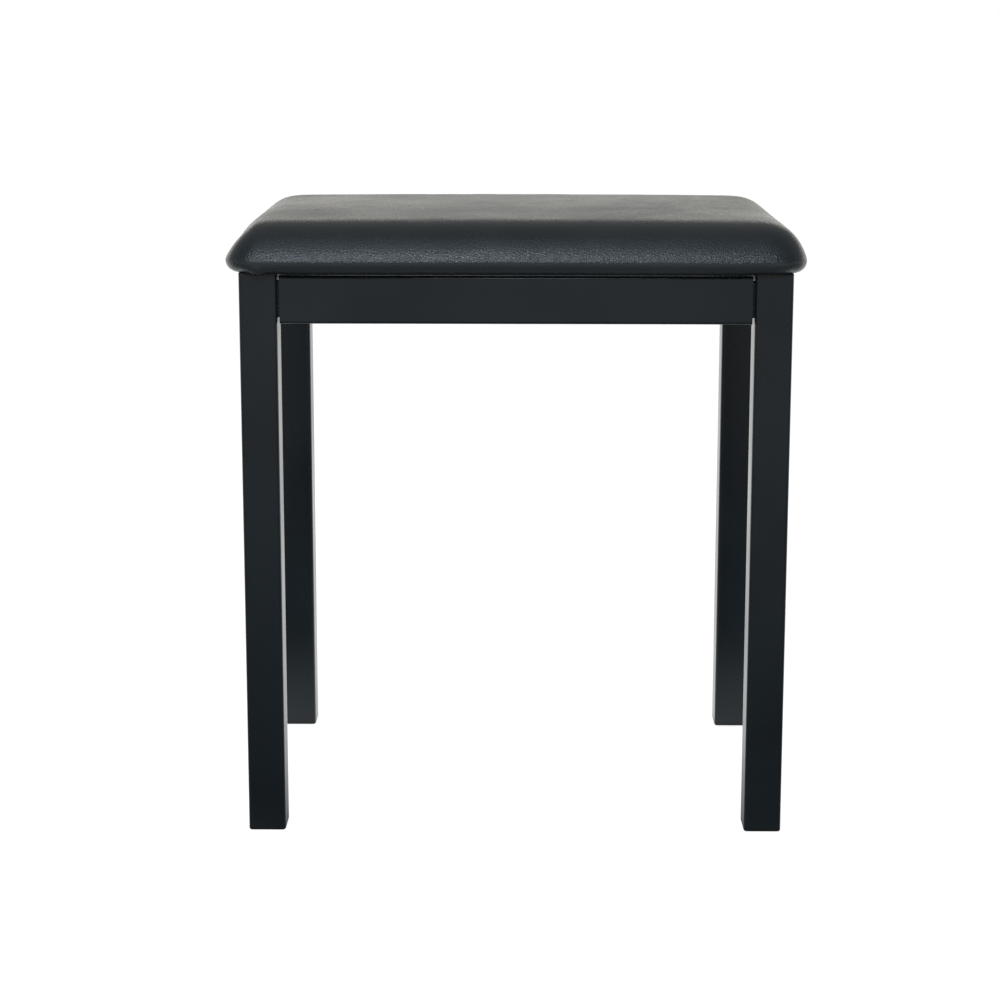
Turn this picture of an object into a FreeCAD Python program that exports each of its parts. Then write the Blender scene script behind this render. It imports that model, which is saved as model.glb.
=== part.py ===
import FreeCAD, Part
import os
import Sketcher
from FreeCAD import Placement, Rotation, Vector

# A small padded piano bench. The frame is knock-down furniture: two welded side
# frames, each of two square legs and a side rail, joined by a front and a rear rail
# that are bolted on through the legs. The seat is a plywood board with a foam pad and
# a leathercloth cover turned under it, held to the side rails by four screws.
#
# Frame of the model: X along the width, the front of the bench faces -Y, +Z up.
# The origin is on the floor, under the middle of the bench.

doc = FreeCAD.newDocument("PianoBench")

# ---------------------------------------------------------------- driving sizes, mm

SIZES = (
    ("frame_width", 435, "over the outer faces of the legs, side to side"),
    ("frame_depth", 310, "over the outer faces of the legs, front to back"),
    ("seat_height", 500, "floor to the top of the cushion"),
    ("cushion_height", 42, "underside to top of the upholstered seat"),
    ("seat_overhang", 12, "cushion beyond the frame, all round"),
    ("leg_size", 30, "side of the square leg tube"),
    ("leg_wall", 1.2, "wall of the leg tube"),
    ("leg_corner", 3, "outer corner radius of the leg tube"),
    ("foot_flange", 3, "plastic foot below the end of the leg tube"),
    ("foot_edge", 1.5, "rounding of the foot's lower edge"),
    ("cap_flange", 2, "plastic cap above the end of the leg tube"),
    ("cap_edge", 0.5, "rounding of the cap's upper edge"),
    ("foot_reach", 18, "reach of a foot into the leg tube"),
    ("cap_clear", 2, "end of a leg cap to the dimple of the bolt below it"),
    ("small_corner", 0.4, "least radius inside a bent corner"),
    ("plug_wall", 2, "wall of the part of a plug inside the tube"),
    ("plug_gap", 0.15, "clearance of a plug in its tube, each side"),
    ("rail_height", 38, "height of the rail tube"),
    ("rail_thickness", 19, "thickness of the rail tube"),
    ("rail_wall", 1.2, "wall of the rail tube"),
    ("rail_corner", 2.5, "outer corner radius of the rail tube"),
    ("weld_size", 3, "leg length of the fillet welds"),
    ("joint_gap", 2, "open joint between a bolted rail and the leg"),
    ("connector_depth", 16, "reach of a rail connector into the rail"),
    ("boss_step", 5, "rail edge to the connector's boss, above and below"),
    ("boss_inset", 3, "rail face to the connector's boss, front and back"),
    ("bolt_diameter", 6, "frame bolts and seat screws"),
    ("bolt_beyond", 3, "frame bolt's end beyond its nut"),
    ("bolt_head", 12, "diameter of the countersunk head"),
    ("bolt_point", 0.8, "chamfer at the end of a bolt or screw"),
    ("hole_gap", 0.3, "clearance round a bolt in a plain hole, each side"),
    ("thread_gap", 0.05, "clearance round a bolt in a thread, each side"),
    ("socket_width", 4, "hexagon socket across flats"),
    ("socket_depth", 2.2, "hexagon socket depth"),
    ("nut_width", 10, "hexagon nut across flats"),
    ("nut_height", 5, "hexagon nut thickness"),
    ("nut_gap", 0.2, "clearance of the nut in the connector"),
    ("nut_cover", 10, "connector material between rail end and nut"),
    ("board_thickness", 15, "plywood seat board"),
    ("board_clear", 1, "edge of the board to the rounding of the cover's lower edge"),
    ("cover_thickness", 1, "leathercloth with its backing"),
    ("cover_corner", 24, "corner radius of the cushion in plan"),
    ("cover_upper", 20, "radius round the cushion's upper edge"),
    ("cover_lower", 9, "radius round the cushion's lower edge"),
    ("soft_gap", 0.3, "clearance of the foam from its neighbours"),
    ("lining_thickness", 0.5, "cloth under the board"),
    ("lining_gap", 1.5, "lining to the inner faces of the legs"),
    ("lining_lap", 6.5, "lining over the cover turned under the board"),
    ("screw_short", 2.6, "seat screw's end below the top of the board"),
    ("screw_inset", 50, "leg to the nearest seat screw"),
    ("screw_head", 12, "seat screw's head diameter"),
    ("screw_head_height", 3.5, "seat screw's head height"),
    ("washer_diameter", 15, "washer under a seat screw's head"),
    ("washer_thickness", 1.6, "washer under a seat screw's head"),
    ("spacer_diameter", 17, "spacer between side rail and seat"),
    ("tee_flange", 19, "tee nut's flange diameter"),
    ("tee_flange_height", 1.4, "tee nut's flange thickness"),
    ("tee_barrel", 7.8, "tee nut's barrel diameter"),
    ("tee_length", 10, "tee nut, overall"),
)

sheet = doc.addObject("Spreadsheet::Sheet", "Sizes")
for row, (alias, size, meaning) in enumerate(SIZES, start=1):
    sheet.set(f"A{row}", alias)
    sheet.set(f"B{row}", str(size))
    sheet.set(f"C{row}", meaning)
    sheet.setAlias(f"B{row}", alias)
doc.recompute()

# Levels and distances that several pieces share, each worked out from the sheet.
FRAME_TOP = "(Sizes.seat_height - Sizes.cushion_height)"
TUBE_TOP = f"({FRAME_TOP} - Sizes.cap_flange)"
RAIL_BOTTOM = f"({TUBE_TOP} - Sizes.rail_height)"
RAIL_MIDDLE = f"({TUBE_TOP} - Sizes.rail_height / 2)"
BOARD_BOTTOM = f"({FRAME_TOP} + Sizes.cover_thickness)"
LEG_X = "(Sizes.frame_width - Sizes.leg_size) / 2"
LEG_Y = "(Sizes.frame_depth - Sizes.leg_size) / 2"
LEGS_APART_X = "(Sizes.frame_width - 2 * Sizes.leg_size)"
LEGS_APART_Y = "(Sizes.frame_depth - 2 * Sizes.leg_size)"
SIDE_RAIL_X = "(Sizes.frame_width - Sizes.rail_thickness) / 2"
CROSS_RAIL_Y = "(Sizes.frame_depth - Sizes.rail_thickness) / 2"
CROSS_RAIL_LENGTH = f"({LEGS_APART_X} - 2 * Sizes.joint_gap)"
SCREW_Y = f"({LEGS_APART_Y} / 2 - Sizes.screw_inset)"
SEAT_WIDTH = "(Sizes.frame_width + 2 * Sizes.seat_overhang)"
SEAT_DEPTH = "(Sizes.frame_depth + 2 * Sizes.seat_overhang)"
BOARD_INSET = "(Sizes.cover_lower + Sizes.board_clear)"
BOARD_WIDTH = f"({SEAT_WIDTH} - 2 * {BOARD_INSET})"
BOARD_DEPTH = f"({SEAT_DEPTH} - 2 * {BOARD_INSET})"
LINING_WIDTH = f"({LEGS_APART_X} - 2 * Sizes.lining_gap)"
LINING_DEPTH = f"({LEGS_APART_Y} - 2 * Sizes.lining_gap)"
SMALL_CORNER = "Sizes.small_corner"
BOLT_HOLE = "(Sizes.bolt_diameter + 2 * Sizes.hole_gap)"
THREAD_HOLE = "(Sizes.bolt_diameter + 2 * Sizes.thread_gap)"

# The four corners: name, side (-1 left, 1 right) and end (-1 front, 1 rear).
CORNERS = (
    ("front_left", -1, -1),
    ("front_right", 1, -1),
    ("rear_left", -1, 1),
    ("rear_right", 1, 1),
)

UPWARD = Rotation(Vector(0, 0, 1), 0)
HALF_TURN = Rotation(Vector(0, 0, 1), 180)
UPSIDE_DOWN = Rotation(Vector(1, 0, 0), 180)

pieces = []


# ---------------------------------------------------------------- how pieces are made


def value(expression):
    """The number that an expression on the sheet has now."""
    return float(sheet.evalExpression(expression))


def start_body(name):
    body = doc.addObject("PartDesign::Body", name)
    body.Label = name
    return body


def keep(piece, x, y, z, rotation=UPWARD):
    """Place a finished sub-part, its position bound to the sheet, and list it."""
    piece.Placement = Placement(Vector(), rotation)
    piece.setExpression("Placement.Base.x", x)
    piece.setExpression("Placement.Base.y", y)
    piece.setExpression("Placement.Base.z", z)
    pieces.append(piece)


def start_sketch(body, name, role, height="0"):
    """A sketch on one of the body's own origin planes, or at a height over it."""
    sketch = body.newObject("Sketcher::SketchObject", name)
    plane = next(p for p in body.Origin.OriginFeatures if p.Role == role)
    sketch.AttachmentSupport = [(plane, "")]
    sketch.MapMode = "FlatFace"
    if height != "0":
        sketch.setExpression("AttachmentOffset.Base.z", height)
    return sketch


def bind(sketch, kind, geometry, point, expression):
    """Tie one coordinate of a point, or a circle's diameter, to an expression."""
    size = value(expression)
    if kind == "Diameter":
        constraint = Sketcher.Constraint(kind, geometry, size)
    elif expression == "0":
        axis = -2 if kind == "DistanceX" else -1
        sketch.addConstraint(Sketcher.Constraint("PointOnObject", geometry, point, axis))
        return
    else:
        constraint = Sketcher.Constraint(kind, -1, 1, geometry, point, size)
    index = sketch.addConstraint(constraint)
    label = f"size_{index}"
    sketch.renameConstraint(index, label)
    sketch.setExpression(f"Constraints.{label}", expression)


def draw_outline(sketch, corners):
    """A closed outline of straight lines through corners given as expressions."""
    points = [Vector(value(x), value(y), 0) for x, y in corners]
    first = sketch.GeometryCount
    count = len(points)
    for number in range(count):
        line = Part.LineSegment(points[number], points[(number + 1) % count])
        sketch.addGeometry(line)
    for number in range(count):
        after = first + (number + 1) % count
        join = Sketcher.Constraint("Coincident", first + number, 2, after, 1)
        sketch.addConstraint(join)
    for number, (x, y) in enumerate(corners):
        bind(sketch, "DistanceX", first + number, 1, x)
        bind(sketch, "DistanceY", first + number, 1, y)


def draw_rectangle(sketch, width, height):
    """A rectangle centred on the sketch's origin."""
    half_width = f"({width}) / 2"
    half_height = f"({height}) / 2"
    draw_outline(
        sketch,
        (
            (f"-{half_width}", f"-{half_height}"),
            (half_width, f"-{half_height}"),
            (half_width, half_height),
            (f"-{half_width}", half_height),
        ),
    )


def draw_hexagon(sketch, across_flats):
    """A hexagon centred on the sketch's origin, with a corner to each side of it."""
    flat = f"({across_flats}) / 2"
    corner = f"({across_flats}) / sqrt(3)"
    side = f"({across_flats}) / sqrt(12)"
    draw_outline(
        sketch,
        (
            (f"-{corner}", "0"),
            (f"-{side}", f"-{flat}"),
            (side, f"-{flat}"),
            (corner, "0"),
            (side, flat),
            (f"-{side}", flat),
        ),
    )


def draw_circle(sketch, diameter, x="0", y="0"):
    middle = Vector(value(x), value(y), 0)
    circle = Part.Circle(middle, Vector(0, 0, 1), value(diameter) / 2)
    geometry = sketch.addGeometry(circle)
    if x == "0" and y == "0":
        sketch.addConstraint(Sketcher.Constraint("Coincident", geometry, 3, -1, 1))
    else:
        bind(sketch, "DistanceX", geometry, 3, x)
        bind(sketch, "DistanceY", geometry, 3, y)
    bind(sketch, "Diameter", geometry, 0, diameter)


def add_pad(body, sketch, length):
    pad = body.newObject("PartDesign::Pad", sketch.Name + "_pad")
    pad.Profile = sketch
    pad.setExpression("Length", length)
    doc.recompute()
    return pad


def add_pocket(body, sketch, length, along_normal=False):
    """Cut a sketch into the body, against its normal or along it; it has to cut."""
    volume_before = body.Shape.Volume
    pocket = body.newObject("PartDesign::Pocket", sketch.Name + "_pocket")
    pocket.Profile = sketch
    pocket.Reversed = along_normal
    pocket.setExpression("Length", length)
    doc.recompute()
    if not body.Shape.Volume < volume_before:
        raise ValueError(f"{pocket.Name} cuts nothing")
    return pocket


def add_revolution(body, sketch, axis):
    """Turn a profile once round one of its sketch's axes."""
    revolution = body.newObject("PartDesign::Revolution", sketch.Name + "_turn")
    revolution.Profile = sketch
    revolution.ReferenceAxis = (sketch, [axis])
    revolution.Angle = 360
    doc.recompute()
    return revolution


def add_groove(body, sketch, axis):
    """Cut a profile once round one of its sketch's axes; it has to cut."""
    volume_before = body.Shape.Volume
    groove = body.newObject("PartDesign::Groove", sketch.Name + "_groove")
    groove.Profile = sketch
    groove.ReferenceAxis = (sketch, [axis])
    groove.Angle = 360
    doc.recompute()
    if not body.Shape.Volume < volume_before:
        raise ValueError(f"{groove.Name} cuts nothing")
    return groove


def add_fillet(body, base, radius, wanted):
    """Round the edges of a feature that a test picks out."""
    names = [f"Edge{n}" for n, edge in enumerate(base.Shape.Edges, start=1) if wanted(edge)]
    fillet = body.newObject("PartDesign::Fillet", base.Name + "_fillet")
    fillet.Base = (base, names)
    fillet.setExpression("Radius", radius)
    doc.recompute()
    return fillet


def is_upright(edge):
    """Whether an edge is straight and runs along the body's own Z."""
    start, end = edge.Vertexes[0].Point, edge.Vertexes[-1].Point
    return edge.Length > 0 and abs(abs(end.z - start.z) - edge.Length) < 1e-6


def lies_at(edge, height):
    """Whether an edge lies flat at a height in the body's own frame."""
    box = edge.BoundBox
    return abs(box.ZMin - height) < 1e-6 and abs(box.ZMax - height) < 1e-6


def make_tube(name, width, thickness, wall, corner, length):
    """A rectangular tube standing on its own origin, its corners bent round."""
    body = start_body(name)
    outside = start_sketch(body, name + "_outside", "XY_Plane")
    draw_rectangle(outside, width, thickness)
    bar = add_pad(body, outside, length)
    add_fillet(body, bar, corner, is_upright)

    bore = start_sketch(body, name + "_bore", "XY_Plane")
    draw_rectangle(bore, f"{width} - 2 * {wall}", f"{thickness} - 2 * {wall}")
    hollow = add_pocket(body, bore, length, along_normal=True)
    bore_x = value(f"{width} / 2 - {wall}")
    bore_y = value(f"{thickness} / 2 - {wall}")

    def is_in_bore(edge):
        point = edge.Vertexes[0].Point
        in_bore = abs(abs(point.x) - bore_x) < 1e-6 and abs(abs(point.y) - bore_y) < 1e-6
        return is_upright(edge) and in_bore

    add_fillet(body, hollow, f"max({corner} - {wall}; {SMALL_CORNER})", is_in_bore)
    return body


def make_turned(name, profile):
    """A piece turned round its own Z axis from radii and heights."""
    body = start_body(name)
    sketch = start_sketch(body, name + "_profile", "XZ_Plane")
    draw_outline(sketch, profile)
    add_revolution(body, sketch, "V_Axis")
    return body


def make_ring(name, outside, inside, thickness):
    body = start_body(name)
    sketch = start_sketch(body, name + "_ring", "XY_Plane")
    draw_circle(sketch, outside)
    draw_circle(sketch, inside)
    add_pad(body, sketch, thickness)
    return body


# ---------------------------------------------------------------- legs

# Square steel tube. The outer side has a pressed dimple that seats the frame bolt's
# countersunk head flush, and the opposite wall a plain hole for its shank, both in
# line with the middle of the rail. The body's own X points out of the bench, so a
# left leg is a right leg turned half round.

LEG_HOLE_HEIGHT = f"({RAIL_MIDDLE} - Sizes.foot_flange)"
LEG_HOLE_OFFSET = "(Sizes.leg_size - Sizes.rail_thickness) / 2"
HEAD_RADIUS = "(Sizes.bolt_head / 2)"
HOLE_RADIUS = f"({BOLT_HOLE} / 2)"
SEAT_RADIUS = f"({HEAD_RADIUS} + Sizes.hole_gap)"
DIMPLE_RADIUS = f"({SEAT_RADIUS} + Sizes.leg_wall / 2)"
DIMPLE_DEPTH = f"({SEAT_RADIUS} - {HOLE_RADIUS} + Sizes.leg_wall / 2)"


def start_bolt_sketch(body, name, toward):
    """A sketch whose horizontal axis is the bolt's, across the leg."""
    sketch = start_sketch(body, name, "XZ_Plane", f"{-toward} * {LEG_HOLE_OFFSET}")
    sketch.setExpression("AttachmentOffset.Base.y", LEG_HOLE_HEIGHT)
    return sketch


def make_leg(name, toward):
    """A leg with its bolt off the middle, towards 1 or away from -1 its body's Y."""
    length = f"{TUBE_TOP} - Sizes.foot_flange"
    size = "Sizes.leg_size"
    body = make_tube(name, size, size, "Sizes.leg_wall", "Sizes.leg_corner", length)
    face = "Sizes.leg_size / 2"
    inner_face = f"({face} - Sizes.leg_wall)"
    dimple_end = f"({face} - {DIMPLE_DEPTH})"

    dimple = start_bolt_sketch(body, name + "_dimple", toward)
    draw_outline(
        dimple,
        (
            (dimple_end, "0"),
            (face, "0"),
            (face, DIMPLE_RADIUS),
            (inner_face, DIMPLE_RADIUS),
            (dimple_end, f"({HOLE_RADIUS} + Sizes.leg_wall)"),
        ),
    )
    add_revolution(body, dimple, "H_Axis")

    seat = start_bolt_sketch(body, name + "_seat", toward)
    draw_outline(
        seat,
        (
            (f"-{face}", "0"),
            (face, "0"),
            (face, SEAT_RADIUS),
            (f"({face} - {SEAT_RADIUS} + {HOLE_RADIUS})", HOLE_RADIUS),
            (f"-{face}", HOLE_RADIUS),
        ),
    )
    add_groove(body, seat, "H_Axis")
    return body


for corner_name, side, end in CORNERS:
    turn = UPWARD if side > 0 else HALF_TURN
    leg = make_leg(f"leg_{corner_name}", side * end)
    keep(leg, f"{side} * {LEG_X}", f"{end} * {LEG_Y}", "Sizes.foot_flange", turn)


# ---------------------------------------------------------------- feet and leg caps

# Moulded plugs pressed into both ends of each leg. The flange has the tube's own
# outline; the part inside the tube is hollow. A cap ends short of the bolt's dimple.

CAP_REACH = f"(Sizes.rail_height / 2 - {DIMPLE_RADIUS} - Sizes.cap_clear)"


def make_plug(name, flange, edge, reach):
    """A plug with its flange down and its hollow stem up; edge rounds its outside."""
    body = start_body(name)
    outline = start_sketch(body, name + "_flange", "XY_Plane")
    draw_rectangle(outline, "Sizes.leg_size", "Sizes.leg_size")
    plate = add_pad(body, outline, flange)
    rounded = add_fillet(body, plate, "Sizes.leg_corner", is_upright)
    add_fillet(body, rounded, edge, lambda side: lies_at(side, 0))

    stem_width = "(Sizes.leg_size - 2 * Sizes.leg_wall - 2 * Sizes.plug_gap)"
    stem = start_sketch(body, name + "_stem", "XY_Plane", flange)
    draw_rectangle(stem, stem_width, stem_width)
    post = add_pad(body, stem, reach)
    plate_top = value(flange)
    stem_corner = f"max(Sizes.leg_corner - Sizes.leg_wall; {SMALL_CORNER})"

    def is_stem_corner(side):
        return is_upright(side) and side.BoundBox.ZMax > plate_top + 1

    add_fillet(body, post, stem_corner, is_stem_corner)
    hollow = start_sketch(body, name + "_hollow", "XY_Plane", flange)
    hollow_width = f"({stem_width} - 2 * Sizes.plug_wall)"
    draw_rectangle(hollow, hollow_width, hollow_width)
    add_pocket(body, hollow, reach, along_normal=True)
    return body


for corner_name, side, end in CORNERS:
    leg_x, leg_y = f"{side} * {LEG_X}", f"{end} * {LEG_Y}"
    foot = make_plug(
        f"foot_{corner_name}", "Sizes.foot_flange", "Sizes.foot_edge", "Sizes.foot_reach"
    )
    keep(foot, leg_x, leg_y, "0")

    cap = make_plug(
        f"leg_cap_{corner_name}", "Sizes.cap_flange", "Sizes.cap_edge", CAP_REACH
    )
    keep(cap, leg_x, leg_y, FRAME_TOP, UPSIDE_DOWN)


# ---------------------------------------------------------------- rails

# Rectangular steel tube on edge, flush with the legs' outer faces and with the tops
# of the leg tubes. The side rails are welded between the legs and carry the seat
# screws; the front and rear rails stop short of the legs by the open bolted joint.

ALONG_X = Rotation(Vector(0, 1, 0), 90)
ALONG_Y = Rotation(Vector(1, 0, 0), -90)


def make_rail(name, height, thickness, length):
    """A rail lying along its body's Z, ready to be laid down."""
    return make_tube(name, height, thickness, "Sizes.rail_wall", "Sizes.rail_corner", length)


for rail_name, end in (("rail_front", -1), ("rail_rear", 1)):
    rail = make_rail(rail_name, "Sizes.rail_height", "Sizes.rail_thickness", CROSS_RAIL_LENGTH)
    keep(rail, f"-{CROSS_RAIL_LENGTH} / 2", f"{end} * {CROSS_RAIL_Y}", RAIL_MIDDLE, ALONG_X)

for rail_name, side in (("rail_left", -1), ("rail_right", 1)):
    rail = make_rail(rail_name, "Sizes.rail_thickness", "Sizes.rail_height", LEGS_APART_Y)
    holes = start_sketch(rail, rail_name + "_screw_holes", "XZ_Plane", "-Sizes.rail_height / 2")
    for hole_y in ("Sizes.screw_inset", f"({LEGS_APART_Y} - Sizes.screw_inset)"):
        draw_circle(holes, BOLT_HOLE, "0", hole_y)
    add_pocket(rail, holes, "Sizes.rail_height", along_normal=True)
    keep(rail, f"{side} * {SIDE_RAIL_X}", f"-{LEGS_APART_Y} / 2", RAIL_MIDDLE, ALONG_Y)


# ---------------------------------------------------------------- welds

# A fillet weld where each side rail meets a leg: along the rail's inner face and under
# it. Its outer face and its top are ground flush, so there is no bead there. The bead
# is drawn from the rail's outer lower edge, and turned over for two of the corners.

ROUND_X = Rotation(Vector(1, 0, 0), 180)
ROUND_Y = Rotation(Vector(0, 1, 0), 180)
BEAD_TURNS = {
    "front_left": UPWARD,
    "front_right": ROUND_Y,
    "rear_left": ROUND_X,
    "rear_right": HALF_TURN,
}

for corner_name, side, end in CORNERS:
    turned_over = side * end < 0
    bead = doc.addObject("Part::Wedge", f"bead_{corner_name}")
    bead.Xmin = 0
    bead.Ymin = 0
    bead.X2min = 0
    bead.setExpression("Xmax", "Sizes.rail_thickness + Sizes.weld_size")
    bead.setExpression("X2max", "Sizes.rail_thickness")
    bead.setExpression("Ymax", "Sizes.weld_size")
    bead.setExpression("Z2max", "Sizes.rail_height")
    if turned_over:
        bead.setExpression("Zmax", "Sizes.rail_height + Sizes.weld_size")
        bead.Zmin = 0
    else:
        bead.setExpression("Zmax", "Sizes.rail_height")
        bead.setExpression("Zmin", "-Sizes.weld_size")
    bead.Z2min = 0

    rail_end = doc.addObject("Part::Box", f"rail_end_{corner_name}")
    rail_end.setExpression("Length", "Sizes.rail_thickness")
    rail_end.setExpression("Width", "Sizes.weld_size")
    rail_end.setExpression("Height", "Sizes.rail_height")

    weld = doc.addObject("Part::Cut", f"weld_{corner_name}")
    weld.Label = f"weld_{corner_name}"
    weld.Base = bead
    weld.Tool = rail_end
    level = TUBE_TOP if turned_over else RAIL_BOTTOM
    outer_x = f"{side} * Sizes.frame_width / 2"
    keep(weld, outer_x, f"{end} * {LEGS_APART_Y} / 2", level, BEAD_TURNS[corner_name])


# ---------------------------------------------------------------- bolted joints

# Each end of the front and rear rails holds a moulded connector with a nut pressed
# into its back. Its raised boss bears on the leg, which leaves a narrow open joint
# beside the rail's end. The bolt runs through the leg and the connector to the nut.
# These pieces are drawn with the joint's axis along their Z, towards the leg.

TOWARDS_RIGHT = Rotation(Vector(0, 1, 0), 90)
TOWARDS_LEFT = Rotation(Vector(0, 1, 0), -90)


def make_connector(name):
    body = start_body(name)
    body_height = "(Sizes.rail_height - 2 * Sizes.rail_wall - 2 * Sizes.plug_gap)"
    body_thickness = "(Sizes.rail_thickness - 2 * Sizes.rail_wall - 2 * Sizes.plug_gap)"
    outline = start_sketch(body, name + "_stem", "XY_Plane", "-Sizes.connector_depth")
    draw_rectangle(outline, body_height, body_thickness)
    stem = add_pad(body, outline, "Sizes.connector_depth")
    corner = f"max(Sizes.rail_corner - Sizes.rail_wall; {SMALL_CORNER})"
    add_fillet(body, stem, corner, is_upright)

    boss = start_sketch(body, name + "_boss", "XY_Plane")
    boss_height = "Sizes.rail_height - 2 * Sizes.boss_step"
    draw_rectangle(boss, boss_height, "Sizes.rail_thickness - 2 * Sizes.boss_inset")
    add_pad(body, boss, "Sizes.joint_gap")

    bolt_way = start_sketch(body, name + "_bolt_way", "XY_Plane", "Sizes.joint_gap")
    draw_circle(bolt_way, BOLT_HOLE)
    add_pocket(body, bolt_way, "Sizes.joint_gap + Sizes.connector_depth")

    nut_pocket = start_sketch(body, name + "_nut_pocket", "XY_Plane", "-Sizes.nut_cover")
    draw_hexagon(nut_pocket, "Sizes.nut_width + 2 * Sizes.nut_gap")
    add_pocket(body, nut_pocket, "Sizes.connector_depth - Sizes.nut_cover")
    return body


def make_nut(name):
    body = start_body(name)
    outline = start_sketch(body, name + "_hexagon", "XY_Plane")
    draw_hexagon(outline, "Sizes.nut_width")
    draw_circle(outline, THREAD_HOLE)
    add_pad(body, outline, "Sizes.nut_height")
    return body


BOLT_GRIP = "(Sizes.leg_size + Sizes.joint_gap + Sizes.nut_cover)"
BOLT_LENGTH = f"({BOLT_GRIP} + Sizes.nut_height + Sizes.bolt_beyond)"


def make_frame_bolt(name):
    """A countersunk socket bolt with the face of its head at the origin, point up."""
    shank = "(Sizes.bolt_diameter / 2)"
    profile = (
        ("0", "0"),
        (HEAD_RADIUS, "0"),
        (shank, f"({HEAD_RADIUS} - {shank})"),
        (shank, f"({BOLT_LENGTH} - Sizes.bolt_point)"),
        (f"({shank} - Sizes.bolt_point)", BOLT_LENGTH),
        ("0", BOLT_LENGTH),
    )
    body = make_turned(name, profile)
    socket = start_sketch(body, name + "_socket", "XY_Plane")
    draw_hexagon(socket, "Sizes.socket_width")
    add_pocket(body, socket, "Sizes.socket_depth", along_normal=True)
    return body


for corner_name, side, end in CORNERS:
    outwards = TOWARDS_RIGHT if side > 0 else TOWARDS_LEFT
    inwards = TOWARDS_LEFT if side > 0 else TOWARDS_RIGHT
    axis_y = f"{end} * {CROSS_RAIL_Y}"
    rail_end_x = f"{side} * {CROSS_RAIL_LENGTH} / 2"

    connector = make_connector(f"connector_{corner_name}")
    keep(connector, rail_end_x, axis_y, RAIL_MIDDLE, outwards)

    nut = make_nut(f"connector_nut_{corner_name}")
    nut_x = f"{side} * ({CROSS_RAIL_LENGTH} / 2 - Sizes.nut_cover)"
    keep(nut, nut_x, axis_y, RAIL_MIDDLE, inwards)

    bolt = make_frame_bolt(f"frame_bolt_{corner_name}")
    keep(bolt, f"{side} * Sizes.frame_width / 2", axis_y, RAIL_MIDDLE, inwards)


# ---------------------------------------------------------------- seat

# Plywood board, foam pad over its top and edges, and a leathercloth cover that is
# turned under the board, with a cloth lining over the cover's raw edge. The seat lies
# on the leg caps and on four spacers over the side rails.


def make_cushion_block(name, inset):
    """The cushion's outer form, smaller by an inset all round, on its own origin."""
    body = start_body(name)
    outline = start_sketch(body, name + "_outline", "XY_Plane")
    draw_rectangle(outline, f"{SEAT_WIDTH} - 2 * {inset}", f"{SEAT_DEPTH} - 2 * {inset}")
    height = f"Sizes.cushion_height - 2 * {inset}"
    block = add_pad(body, outline, height)
    top = value(height)
    in_plan = add_fillet(body, block, f"Sizes.cover_corner - {inset}", is_upright)
    upper_radius = f"Sizes.cover_upper - {inset}"
    above = add_fillet(body, in_plan, upper_radius, lambda edge: lies_at(edge, top))
    lower_radius = f"Sizes.cover_lower - {inset}"
    add_fillet(body, above, lower_radius, lambda edge: lies_at(edge, 0))
    return body


def draw_screw_circles(sketch, diameter):
    for hole_side in (-1, 1):
        for hole_end in (-1, 1):
            hole_x = f"{hole_side} * {SIDE_RAIL_X}"
            draw_circle(sketch, diameter, hole_x, f"{hole_end} * {SCREW_Y}")


board = start_body("seat_board")
board_outline = start_sketch(board, "board_outline", "XY_Plane")
draw_rectangle(board_outline, BOARD_WIDTH, BOARD_DEPTH)
board_pad = add_pad(board, board_outline, "Sizes.board_thickness")
add_fillet(board, board_pad, f"Sizes.cover_corner - {BOARD_INSET}", is_upright)
barrel_holes = start_sketch(board, "barrel_holes", "XY_Plane")
draw_screw_circles(barrel_holes, "Sizes.tee_barrel + 2 * Sizes.thread_gap")
add_pocket(board, barrel_holes, "Sizes.board_thickness", along_normal=True)
flange_seats = start_sketch(board, "flange_seats", "XY_Plane", "Sizes.board_thickness")
draw_screw_circles(flange_seats, "Sizes.tee_flange + 2 * Sizes.thread_gap")
add_pocket(board, flange_seats, "Sizes.tee_flange_height")
keep(board, "0", "0", BOARD_BOTTOM)

FOAM_INSET = "(Sizes.cover_thickness + Sizes.soft_gap)"
foam = make_cushion_block("seat_foam", FOAM_INSET)
board_room = start_sketch(foam, "board_room", "XY_Plane")
room_width = f"{BOARD_WIDTH} + 2 * Sizes.soft_gap"
room_depth = f"{BOARD_DEPTH} + 2 * Sizes.soft_gap"
draw_rectangle(board_room, room_width, room_depth)
add_pocket(foam, board_room, "Sizes.board_thickness - Sizes.soft_gap", along_normal=True)
keep(foam, "0", "0", f"{FRAME_TOP} + {FOAM_INSET}")

cover_block = make_cushion_block("cover_outside", "0")
window = start_sketch(cover_block, "window", "XY_Plane")
window_width = f"{LINING_WIDTH} - 2 * Sizes.lining_lap"
draw_rectangle(window, window_width, f"{LINING_DEPTH} - 2 * Sizes.lining_lap")
add_pocket(cover_block, window, "Sizes.cover_thickness", along_normal=True)
screw_ways = start_sketch(cover_block, "screw_ways", "XY_Plane")
draw_screw_circles(screw_ways, BOLT_HOLE)
add_pocket(cover_block, screw_ways, "Sizes.cover_thickness", along_normal=True)

cover_room = make_cushion_block("cover_inside", "Sizes.cover_thickness")
cover_room.setExpression("Placement.Base.z", "Sizes.cover_thickness")
cover = doc.addObject("Part::Cut", "seat_cover")
cover.Label = "seat_cover"
cover.Base = cover_block
cover.Tool = cover_room
keep(cover, "0", "0", FRAME_TOP)

lining = doc.addObject("Part::Box", "seat_lining")
lining.Label = "seat_lining"
lining.setExpression("Length", LINING_WIDTH)
lining.setExpression("Width", LINING_DEPTH)
lining.setExpression("Height", "Sizes.lining_thickness")
lining_bottom = f"{FRAME_TOP} - Sizes.lining_thickness"
keep(lining, f"-{LINING_WIDTH} / 2", f"-{LINING_DEPTH} / 2", lining_bottom)


# ---------------------------------------------------------------- seat screws

# A pan-head screw with a washer goes up through each side rail and a spacer into a
# tee nut that sits flush in the top of the board.

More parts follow.
